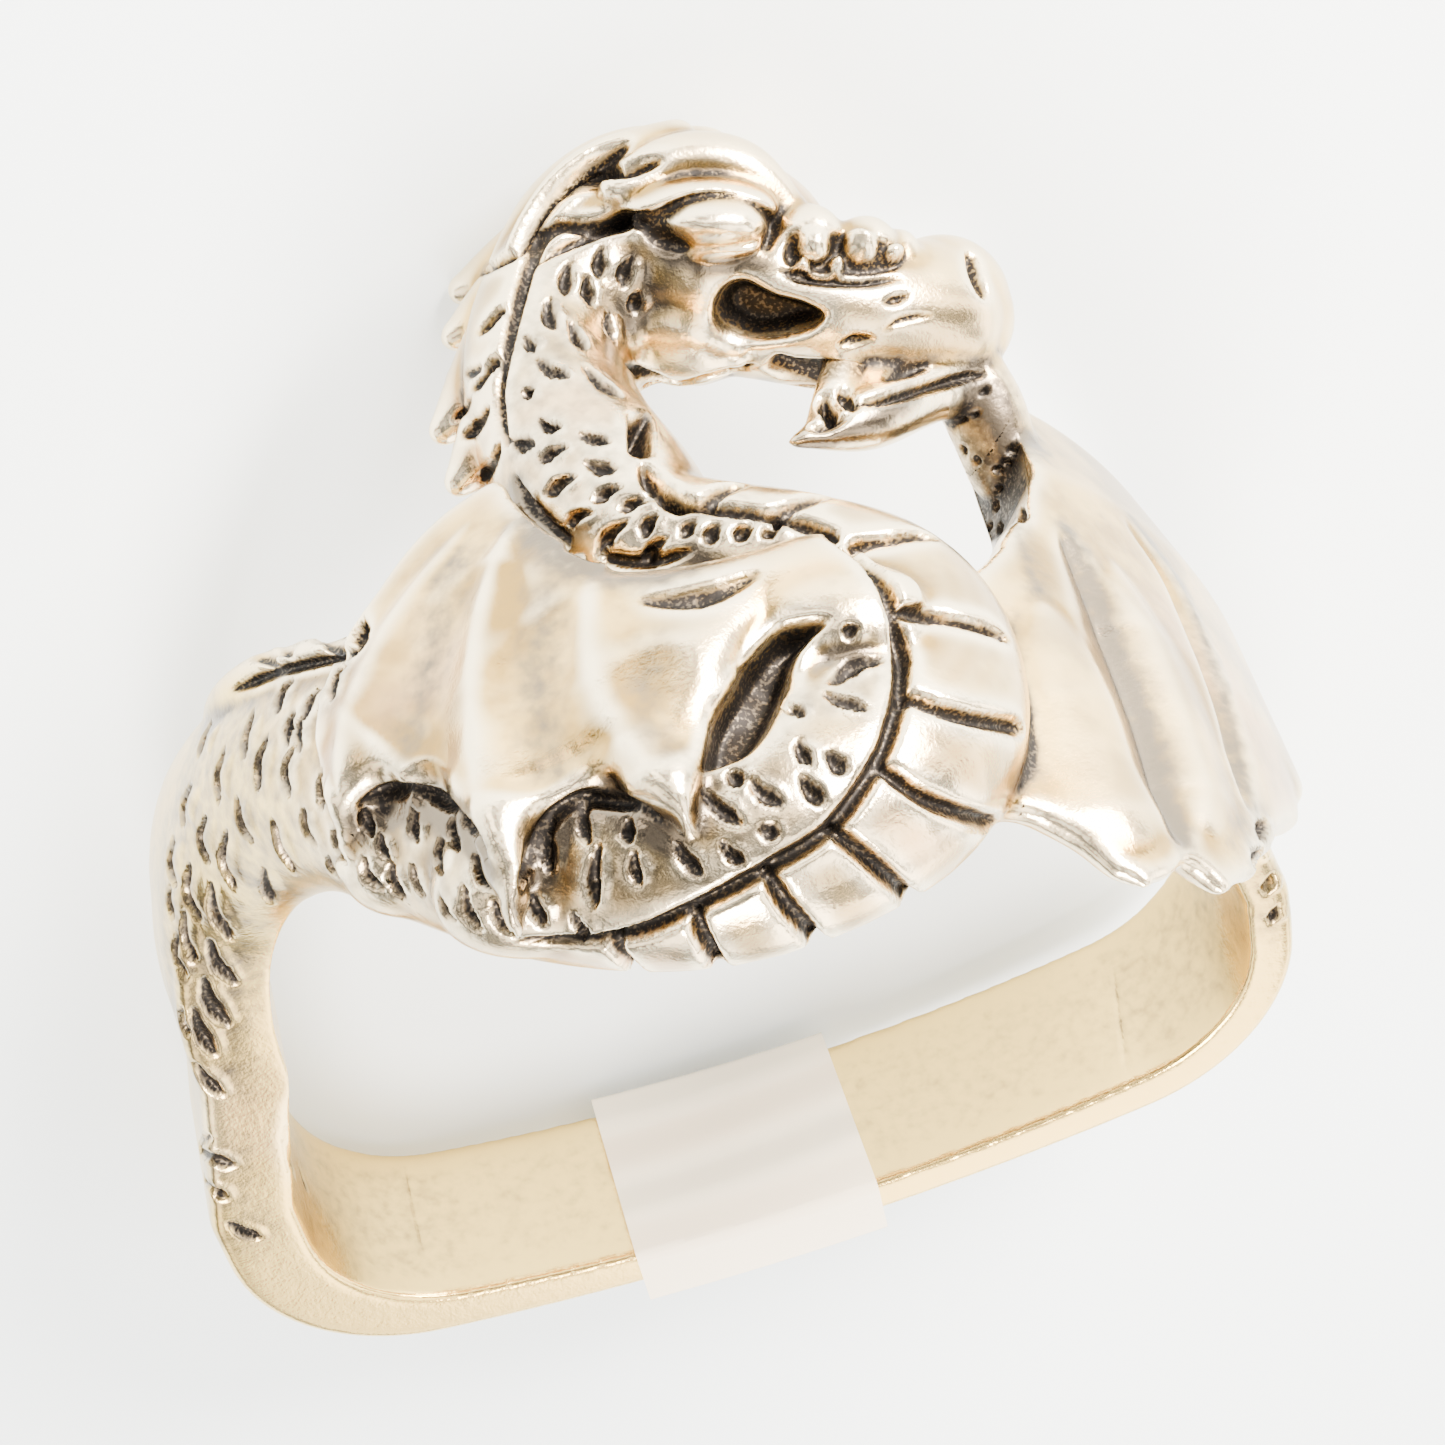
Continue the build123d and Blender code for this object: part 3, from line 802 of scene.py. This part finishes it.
# Grooves of the head and neck. Columns: points, width, depth, ends
grooves = [
    ([(628, 134), (580, 163), (546, 192), (524, 226), (505, 250), (478, 272)], 0.62, 0.45, (0.1, 0.4)),
    ([(664, 154), (630, 160), (589, 172), (556, 190)], 0.5, 0.36, (0.3, 0.3)),
    ([(650, 208), (603, 218), (553, 222), (530, 250), (516, 292), (503, 345), (496, 399), (506, 446)],
     0.36, 0.30, (0.1, 0.1)),
    ([(650, 222), (625, 218), (590, 228), (552, 246), (530, 262)], 0.34, 0.26, (0.3, 0.4)),
    ([(780, 267), (815, 275), (860, 277), (905, 274)], 0.26, 0.22, (0.2, 0.3)),
    ([(624, 362), (655, 376), (681, 382), (720, 372), (757, 362)], 0.34, 0.28, (0.3, 0.2)),
    ([(885, 300), (898, 296), (912, 291)], 0.22, 0.16, (0.5, 0.5)),
    ([(838, 343), (855, 338), (876, 335)], 0.26, 0.20, (0.5, 0.5)),
    ([(884, 328), (905, 316), (938, 312)], 0.16, 0.10, (0.5, 0.5)),
    ([(884, 378), (908, 368), (932, 362)], 0.30, 0.20, (0.5, 0.5)),
    ([(846, 398), (880, 396), (930, 384), (990, 370)], 0.30, 0.30, (0.3, 0.2)),
    ([(815, 400), (826, 408), (832, 420)], 0.24, 0.24, (0.3, 0.3)),
    ([(229, 692), (250, 680), (272, 671), (310, 660), (345, 652), (366, 640)], 0.34, 0.28, (0.2, 0.1)),
    ([(640, 460), (668, 494), (696, 506)], 0.5, 0.45, (0.2, 0.2)),
    ([(822, 390), (828, 404), (834, 420)], 0.34, 0.30, (0.2, 0.2)),
    ([(842, 388), (848, 398), (856, 408)], 0.30, 0.26, (0.2, 0.2)),
    ([(806, 424), (826, 424), (852, 412)], 0.26, 0.22, (0.3, 0.3)),
    ([(258, 643), (264, 652), (272, 664)], 0.5, 0.30, (0.1, 0.3)),
    ([(279, 630), (284, 640), (290, 654)], 0.5, 0.30, (0.1, 0.3)),
    ([(326, 628), (331, 638), (338, 652)], 0.5, 0.30, (0.1, 0.3)),
    ([(352, 624), (356, 632), (362, 645)], 0.5, 0.30, (0.1, 0.3)),
    ([(502, 300), (488, 318), (474, 330)], 0.34, 0.24, (0.2, 0.3)),
    ([(494, 350), (482, 372), (468, 388)], 0.34, 0.24, (0.2, 0.3)),
    ([(488, 404), (474, 424), (458, 434)], 0.34, 0.24, (0.2, 0.3)),
    ([(498, 440), (490, 462), (478, 480)], 0.34, 0.24, (0.2, 0.3)),
    ([(480, 362), (470, 370), (462, 372)], 0.22, 0.16, (0.3, 0.3)),
    ([(470, 396), (460, 412), (452, 418)], 0.22, 0.16, (0.3, 0.3)),
]
for points, width, depth, ends in grooves:
    cut(trace(points), width, depth, ends)

# The slit across the left wing's shoulder
cut(trace([(636, 600), (700, 594), (762, 572)]), 0.6, 0.26, (0.5, 0.5), dark=0.45)

# Belly plates: the long groove, then the grooves across it out to the rim
plate_width, plate_depth, past_rim = 0.34, 0.30, 0.9
cut(trace([(662, 478), (691, 500), (769, 513), (820, 528), (849, 546), (882, 576), (897, 613), (902, 646),
           (902, 686), (895, 719), (879, 762), (832, 828), (766, 871), (693, 911), (620, 939),
           (514, 941)]),
    plate_width, plate_depth, (0.02, 0.06))
plate_cuts = [
    [(700, 503), (715, 492)], [(769, 513), (788, 505), (808, 497)], [(849, 545), (872, 540), (903, 534)],
    [(902, 611), (945, 616), (982, 625)], [(902, 692), (955, 712), (1008, 724)],
    [(882, 765), (930, 800), (990, 824)], [(832, 828), (870, 860), (909, 898)],
    [(766, 871), (786, 905), (815, 940)], [(693, 914), (700, 935), (713, 959)],
    [(610, 940), (618, 954), (631, 967)],
]
for points in plate_cuts:
    cut(carried_on(trace(points), past_rim), plate_width, plate_depth, (0.05, 0.12))

# Dark grooves where the left wing's edges lie on the body, oxide with painted shadow, and painted shadow
# a few pixels below them
shade_u, shade_v, shade_width, shade_amount = 3, 13, 0.75, 2.0
wing_edges = [
    [(356, 808), (380, 795), (405, 791), (432, 796), (455, 809), (474, 834), (488, 862)],
    [(521, 892), (529, 864), (550, 822), (584, 800), (630, 804), (664, 822)],
    [(512, 472), (523, 496), (543, 522), (574, 545), (616, 560), (655, 560), (696, 549)],
]
for points in wing_edges:
    cut(trace(points), 0.30, 0.22, (0.2, 0.2), dark=0.9)
    darken_along(trace([(u + shade_u, v + shade_v) for u, v in points]), shade_width, shade_amount)

# Two solder seams across the band, and two small marks on it. Columns: points, width, depth
band_marks = [
    ([(405, 1153), (414, 1203), (426, 1255)], 0.12, 0.02),
    ([(1112, 960), (1119, 1020), (1127, 1076)], 0.12, 0.02),
    ([(287, 1122), (292, 1150), (298, 1178)], 0.26, 0.05),
    ([(300, 1160), (310, 1190)], 0.20, 0.04),
]
for points, width, depth in band_marks:
    cut(trace(points), width, depth, (0.2, 0.2), dark=0.24)
settle(1)

# Nicks of the scales. Columns: middle u, v, length, lean from upright (clockwise, degrees)
nicks = {
    "neck": [
        (600, 258, 30, 4), (566, 274, 26, 8), (589, 286, 26, -10), (628, 268, 26, 15),
        (637, 299, 22, 12), (550, 310, 26, -8), (577, 333, 28, -25), (611, 324, 26, -12),
        (528, 340, 20, -30), (552, 365, 30, -62), (603, 379, 40, -50), (528, 391, 14, 50),
        (549, 422, 26, -70), (594, 436, 28, -72), (521, 441, 28, -80), (553, 452, 30, 65),
        (600, 464, 34, -75),
    ],
    "back": [
        (560, 484, 36, 62), (607, 493, 28, 65), (634, 504, 30, 70), (578, 520, 34, 60),
        (651, 524, 28, 30), (612, 538, 42, 40), (690, 527, 26, 40), (715, 533, 26, 35),
        (745, 531, 24, 50), (657, 550, 32, 40), (772, 530, 20, 60),
    ],
    "coil": [
        (853, 632, 16, 60), (858, 672, 46, 68), (845, 700, 42, -70), (795, 708, 24, -60),
        (805, 752, 30, -30), (838, 762, 30, -45), (766, 790, 40, -50), (812, 790, 34, -40),
        (722, 808, 44, -50), (770, 830, 24, -60), (734, 853, 30, -50), (688, 860, 38, -40),
        (735, 777, 20, -40),
    ],
    "belly": [
        (553, 845, 46, 4), (588, 822, 36, 0), (596, 876, 56, 4), (628, 830, 24, 0), (636, 868, 36, -8),
        (538, 908, 34, -20), (580, 925, 28, -35), (370, 822, 30, -18), (385, 846, 30, -20),
        (415, 826, 32, -5), (443, 855, 32, 0), (457, 832, 30, -10), (484, 872, 40, -28),
        (375, 876, 30, -35), (418, 880, 30, -20), (448, 908, 26, -35), (472, 908, 42, -20),
        (505, 918, 36, -35), (340, 846, 32, -15), (332, 866, 18, -20),
    ],
    "shank": [
        (265, 650, 26, -30), (282, 638, 16, -5), (330, 638, 26, -20), (285, 696, 32, 25),
        (312, 704, 32, 22), (338, 682, 32, 20), (305, 728, 48, 12), (290, 728, 30, 10),
        (262, 763, 46, 10), (248, 735, 44, 12), (222, 776, 46, 6), (292, 770, 42, 5), (322, 790, 36, 0),
        (205, 740, 36, 20), (188, 806, 40, 10), (245, 820, 46, -20), (310, 826, 36, -20),
        (283, 846, 56, -22), (208, 840, 46, -4), (232, 860, 54, -8), (268, 886, 32, -12),
        (176, 862, 40, -2), (196, 892, 50, -10), (172, 902, 32, -4), (222, 911, 50, -20),
        (191, 936, 50, -12), (224, 961, 46, -32), (218, 1001, 46, -28), (182, 956, 44, -10),
        (206, 1031, 46, -25), (186, 1021, 30, -15), (211, 1078, 40, -42), (204, 1108, 32, -45),
        (216, 1151, 46, -60), (219, 1186, 30, -50), (248, 1228, 32, -65), (340, 846, 34, -25),
        (370, 872, 30, -20), (398, 880, 32, -20),
    ],
    "right": [
        (1262, 829, 15, 30), (1258, 857, 15, 40), (1270, 884, 18, 20), (1274, 915, 15, 20),
    ],
}
ridge_beside, ridge_length = 9, 0.8  # pixels beside a nick, and its share of the nick
ridge_width, ridge_height = 0.55, 0.05
halo, halo_width = 1.15, 1.1  # patina round a nick
longest_back, longest_back_shank, longest_ridge_back = 2.5, 3.4, 2.0
wider_on_shank = 0.04
nick_lean = 1.5  # how much gentler a nick is on one side


def run_back(line):
    """How far a line runs along the sight. One that runs far has fallen over an edge."""
    return np.ptp(line @ np.array(look))


random = np.random.default_rng(7)
# Small pits in the rough block below the nose
for _ in range(16):
    u, v = random.uniform(962, 1022), random.uniform(385, 540)
    cut(trace([(u, v), (u + random.uniform(-7, 7), v + random.uniform(5, 14))]), 0.26, 0.14, dark=0.7)
for group, rows in nicks.items():
    longest, wider = (longest_back_shank, wider_on_shank) if group == "shank" else (longest_back, 0)
    for u, v, length, tilt in rows:
        half, slant = length * random.uniform(0.52, 0.66), math.radians(tilt)
        du, dv = math.sin(slant) * half, -math.cos(slant) * half
        bow = random.uniform(0.10, 0.32) * half
        bow_u, bow_v = bow * math.cos(slant), bow * math.sin(slant)
        line = trace([(u + du, v + dv), (u - bow_u, v - bow_v), (u - du, v - dv)])
        ridge = trace([(u + du * ridge_length + ridge_beside, v + dv * ridge_length),
                       (u + ridge_beside - bow_u, v - bow_v),
                       (u + ridge_beside - du * ridge_length, v - dv * ridge_length)])
        if max(run_back(line), run_back(ridge)) > longest:
            continue
        gap = np.linalg.norm(places - line.mean(0), axis=1)
        dirt_and_shade = np.maximum(dirt_and_shade, unit(halo - gap / halo_width))
        if run_back(ridge) < longest_ridge_back:
            cut(ridge, ridge_width, -ridge_height, (0.5, 0.5), dark=0)
        cut(line, random.uniform(0.22, 0.31) + wider, random.uniform(0.18, 0.26), (0.6, 0.35),
            slope=nick_lean)
moved = above_floor(moved)
settle()


def colour_by(name, values):
    """Keeps values from 0 to 1 at the vertices, for the silver's nodes."""
    layer = clay.data.attributes.new(name, "FLOAT", "POINT")
    layer.data.foreach_set("value", unit(values).astype(np.float32))


def hollow(rounds):
    """How far the surface lies under its surroundings, in millimetres."""
    return ((relaxed(clay, places, rounds, 0.8) - places) * normals).sum(1)


near_rounds, far_rounds, rounds_fit = 24, 150, 0.068  # rounds, and the spacing that they belong to
steps = (rounds_fit / fine) ** 2
close_by, around = hollow(int(near_rounds * steps)), hollow(int(far_rounds * steps))
# What counts as fully hollow, near by and further round, or as fully rubbed, in millimetres
oxide_near, oxide_far, patina_shade_near, patina_shade_far, rubbed_height = 0.05, 0.16, 0.06, 0.20, 0.04
sunk = (unit(close_by / oxide_near) + unit(around / oxide_far)) * 0.6
colour_by("tarnish", sunk * (1 - kept_clean) + depth_cut * 0.9)
# The shank takes a little more patina and painted shade, and the band's warmer colour
on_shank = unit((-turn_of(places) - 34) / 8) * unit((places[:, 1] + 2) / 3)
# Patina with painted shade: grey-brown in hollows near by and further round, as with ambient occlusion,
# plus the dirt and painted shade
patina_and_shade = unit(close_by / patina_shade_near + 0.3) * 0.35 + unit(around / patina_shade_far + 0.2) * 0.45
colour_by("patina_and_shade", patina_and_shade * (1 - 0.7 * kept_clean) + dirt_and_shade * 0.45 + on_shank * 0.12)
colour_by("rubbed", -close_by / rubbed_height)
colour_by("band", unit((-0.5 - places[:, 1]) / 3.0) + on_shank * 0.9)
for polygon in clay.data.polygons:
    polygon.use_smooth = True

# The casting is one piece of metal. Its skin is parted into areas that meet without a seam.
centres = np.empty(len(clay.data.polygons) * 3)
clay.data.polygons.foreach_get("center", centres)
centres = centres.reshape(-1, 3)
angle, y, s = turn_of(centres), centres[:, 1], centres[:, 2]
right_wing_line = ((26, 38, 41.5, 46, 50), (2.0, 1.0, -0.8, -3.0, -9.0))  # angles, places along
on_right_wing = (angle > 26) & (s > np.interp(angle, *right_wing_line))
area = np.select([y < -1, angle < -31, on_right_wing, s > 2.2], [0, 1, 2, 3], 4)
area_names = ("band", "tail", "right_wing", "coil_and_left_wing", "head_and_neck")
whole = clay.data
castings = []
for number, name in enumerate(area_names):
    bm = bmesh.new()
    bm.from_mesh(whole)
    bm.faces.ensure_lookup_table()
    kept = bm.verts.layers.float_vector.new("facing")
    for vert, normal in zip(bm.verts, normals.tolist()):
        vert[kept] = normal
    away = [bm.faces[i] for i in np.flatnonzero(area != number)]
    bmesh.ops.delete(bm, geom=away, context="FACES")
    caps = bmesh.ops.holes_fill(bm, edges=rim(bm))["faces"]
    bmesh.ops.triangulate(bm, faces=caps)
    facings = [tuple(vert[kept]) for vert in bm.verts]
    bm.verts.layers.float_vector.remove(kept)
    part = bpy.data.meshes.new("ring_" + name)
    bm.to_mesh(part)
    bm.free()
    part.normals_split_custom_set_from_vertices(facings)
    part.transform(to_metres @ laid)
    made = placed("ring_" + name, part)
    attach(made, "root")
    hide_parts("dragon_ring")
    castings.append(made)
bpy.data.objects.remove(clay)


def linear(code):
    """A web colour as the numbers that a shader takes."""
    parts = [int(code[i:i + 2], 16) / 255 for i in (0, 2, 4)]
    return [p / 12.92 if p <= 0.04045 else ((p + 0.055) / 1.055) ** 2.4 for p in parts] + [1]


def node(owner, kind, settings=(), links=()):
    """Adds a node to a material or the world, with settings and links from other nodes' outputs."""
    made = owner.node_tree.nodes.new(kind)
    for key, value in dict(settings).items():
        if isinstance(key, int) or key in made.inputs.keys():
            made.inputs[key].default_value = value
        else:
            setattr(made, key, value)
    for socket, source in dict(links).items():
        owner.node_tree.links.new(source, made.inputs[socket])
    return made


def maths(owner, operation, links, values=()):
    """A sum of other nodes' outputs and plain values, each by the number of its socket."""
    return node(owner, "ShaderNodeMath", {"operation": operation, **dict(values)}, links).outputs[0]


def mix(owner, amount, first, second):
    """A colour mix; each side is a web colour or another node's output."""
    made = node(owner, "ShaderNodeMix", {"data_type": "RGBA"}, {"Factor": amount})
    for number, value in ((6, first), (7, second)):
        if isinstance(value, str):
            made.inputs[number].default_value = linear(value)
        else:
            owner.node_tree.links.new(value, made.inputs[number])
    return made.outputs[2]


def ramp(owner, source, low, high, bottom=0.0, top_value=1.0):
    """A source's range from low to high carried smoothly over to bottom and top_value."""
    settings = {"interpolation_type": "SMOOTHSTEP", "From Min": low, "From Max": high, "To Min": bottom,
                "To Max": top_value}
    return node(owner, "ShaderNodeMapRange", settings, {"Value": source}).outputs["Result"]


def attribute(owner, name):
    return node(owner, "ShaderNodeAttribute", {"attribute_name": name}).outputs["Fac"]


def noise(owner, scale_per_mm, detail=4.0):
    place = node(owner, "ShaderNodeTexCoord").outputs["Object"]
    settings = {"Scale": scale_per_mm * 1000, "Detail": detail}
    return node(owner, "ShaderNodeTexNoise", settings, {"Vector": place}).outputs["Fac"]


def surfaced(name):
    """A new material and the sockets of its shader."""
    made = bpy.data.materials.new(name)
    made.use_nodes = True
    return made, made.node_tree.nodes["Principled BSDF"].inputs


def cover(made, material):
    made.data.materials.clear()
    made.data.materials.append(material)


# Cast silver, polished by hand and worn: clouds of straw and pale gold with a faint copper blush, warm
# white where it is rubbed, grey-brown under patina and painted shade, and near-black oxide in the nicks
# and creases
silver, surface = surfaced("sterling_silver")
cloud, grain = noise(silver, 0.45), noise(silver, 3.5)
speckle, blush = noise(silver, 14.0, 2.0), noise(silver, 0.22, 2.0)
oxide = maths(silver, "MULTIPLY_ADD", {0: grain, 2: attribute(silver, "tarnish")}, {1: 0.5})
fleck = ramp(silver, speckle, 0.36, 0.50, 0.62, 1.0)
oxide = maths(silver, "MULTIPLY", {0: ramp(silver, oxide, 0.55, 1.05), 1: fleck})
patina_and_shade = maths(silver, "MULTIPLY_ADD", {0: grain, 2: attribute(silver, "patina_and_shade")}, {1: 0.7})
patina_and_shade = ramp(silver, patina_and_shade, 0.43, 1.12)
straw = mix(silver, ramp(silver, cloud, 0.40, 0.62), "9C7C43", "DBB772")
warm = mix(silver, ramp(silver, blush, 0.50, 0.66, 0.0, 0.5), straw, "CCA284")
rubbed = mix(silver, attribute(silver, "rubbed"), warm, "FBE8C0")
polished = mix(silver, attribute(silver, "band"), rubbed, "E6C678")
# Grey-brown patina with painted shade over the polished tone
dulled_and_shaded = mix(silver, patina_and_shade, polished, "6C6152")
tone = mix(silver, oxide, dulled_and_shaded, "262423")
rough = maths(silver, "MULTIPLY_ADD", {0: oxide}, {1: 0.36, 2: 0.21})
pitting = maths(silver, "MULTIPLY_ADD", {0: speckle, 2: grain}, {1: 0.5})
bump = node(silver, "ShaderNodeBump", {"Strength": 0.17, "Distance": 0.00005}, {"Height": pitting})
for socket, source in (("Base Color", tone), ("Roughness", rough), ("Normal", bump.outputs["Normal"])):
    silver.node_tree.links.new(source, surface[socket])
surface["Metallic"].default_value = 1
for casting in castings:
    cover(casting, silver)

# Clear soft vinyl: milky and faintly warm, glossy, with shallow waves along the finger
vinyl, surface = surfaced("clear_vinyl")
surface["Base Color"].default_value = linear("FFF4E0")
surface["Roughness"].default_value = 0.13
surface["IOR"].default_value = 1.5
surface["Transmission Weight"].default_value = 0.2
waves = node(vinyl, "ShaderNodeTexWave",
             {"bands_direction": "Z", "Scale": 118.0, "Distortion": 0.8, "Detail": 0.0},
             {"Vector": node(vinyl, "ShaderNodeTexCoord").outputs["Object"]})
bump = node(vinyl, "ShaderNodeBump", {"Strength": 1.0, "Distance": 0.0005},
            {"Height": waves.outputs["Fac"]})
vinyl.node_tree.links.new(bump.outputs["Normal"], surface["Normal"])
cover(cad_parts["size_sleeve"], vinyl)

# Dull white paper to lie on, a little cool against the warm lamps
bm = bmesh.new()
bmesh.ops.create_grid(bm, x_segments=1, y_segments=1, size=0.6)
floor = new_object("floor", bm)
paper, surface = surfaced("white_paper")
surface["Base Color"].default_value = linear("E0ECF6")
surface["Roughness"].default_value = 0.9
cover(floor, paper)

world = bpy.data.worlds.new("studio")
bpy.context.scene.world = world
world.use_nodes = True
direction = node(world, "ShaderNodeTexCoord").outputs["Generated"]


def toward(way):
    """How far the world's directions lie toward a way, 1 where they are the same."""
    settings = {"operation": "DOT_PRODUCT", 1: way}
    return node(world, "ShaderNodeVectorMath", settings, {0: direction}).outputs["Value"]


# A studio hung with drapes, bright warm folds and dark cool gaps, that the silver mirrors as streaks. It
# is dimmer behind the camera and on the left.
behind_camera = (laid.to_3x3() @ Vector((-0.10, 0.62, 0.78))).normalized()
left_side = Vector((-0.93, -0.22, 0.30))
dim = maths(world, "MULTIPLY", {0: ramp(world, toward(behind_camera), 0.30, 0.95, 1.15, 0.75),
                                1: ramp(world, toward(left_side), 0.30, 0.95, 1.0, 0.40)})
drapes = node(world, "ShaderNodeTexNoise", {"Scale": 2.8, "Detail": 0.5}, {"Vector": direction})
fold = ramp(world, drapes.outputs["Fac"], 0.40, 0.62)
power = maths(world, "MULTIPLY", {0: dim, 1: maths(world, "MULTIPLY_ADD", {0: fold}, {1: 8.0, 2: 0.4})})
backdrop = world.node_tree.nodes["Background"].inputs
world.node_tree.links.new(mix(world, fold, "E4E9F0", "FFF5E6"), backdrop["Color"])
world.node_tree.links.new(power, backdrop["Strength"])


def soft_light(name, place, size, power):
    """A round, faintly warm lamp that points at the ring."""
    lamp = bpy.data.lights.new(name, "AREA")
    lamp.shape = "DISK"
    lamp.size = size
    lamp.energy = power
    lamp.color = linear("FFF2E2")[:3]
    made = placed(name, lamp)
    made.location = place
    made.rotation_euler = (-Vector(place)).to_track_quat("-Z", "Y").to_euler()


soft_light("key", (0.12, 0.13, 0.08), 0.12, 3.8)
soft_light("fill", (-0.06, -0.08, 0.20), 0.10, 1.4)

lens = bpy.data.cameras.new("camera")
camera = placed("camera", lens)
bpy.context.scene.camera = camera
aim = sight(picture / 2, picture / 2)
level_way = (side - aim * side.dot(aim)).normalized()
turn = Matrix((level_way, (-aim).cross(level_way), -aim)).transposed()
camera.matrix_world = Matrix.Translation((to_metres @ laid) @ eye) @ (laid.to_3x3() @ turn).to_4x4()
sensor = 36
lens.sensor_width = sensor
lens.lens = focus * sensor / picture
lens.clip_start = 0.001
lens.clip_end = 10
